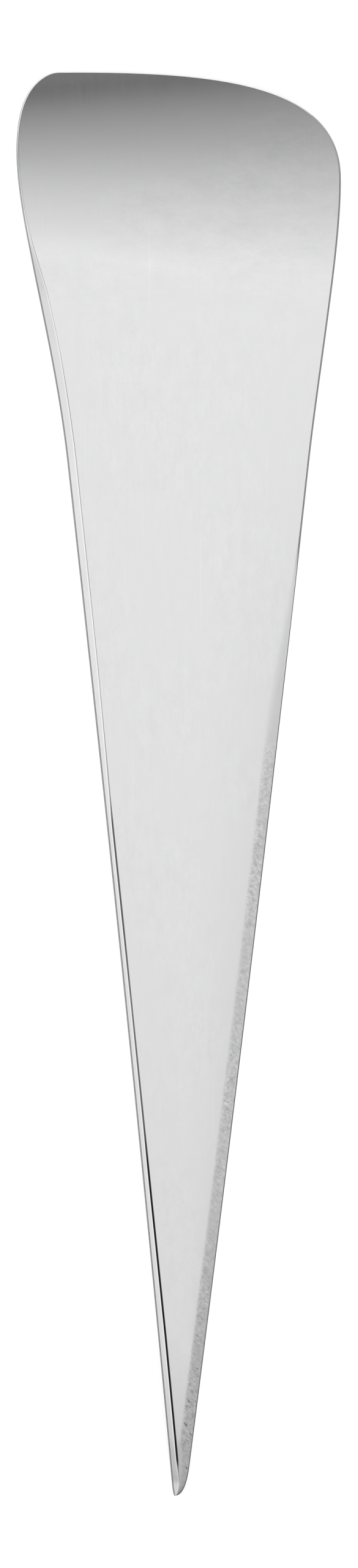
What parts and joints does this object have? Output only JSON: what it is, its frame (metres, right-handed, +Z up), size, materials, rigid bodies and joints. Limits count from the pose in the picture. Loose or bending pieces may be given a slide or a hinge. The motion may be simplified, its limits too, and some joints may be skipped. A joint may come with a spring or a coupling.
{
  "type": "cheese knife",
  "caption": "One-piece steel cheese knife: a flat pointed blade with a chamfered spine and a ground edge, widening into a broad handle whose end curls down.",
  "frame": {"origin": "middle of the knife's bounding box, at the height of the table it lies on", "axes": "+Y from the tip to the handle end, +X towards the ground edge, +Z up off the table, with the front face up"},
  "size_m": [0.0414, 0.18, 0.0107],
  "materials": {
    "satin_steel": "satin stainless steel with a fine grain along the knife, brighter at the rims, and short cross marks on the ground edge"
  },
  "bodies": {
    "root": {"knife_body": "satin_steel"}
  },
  "joints": []
}
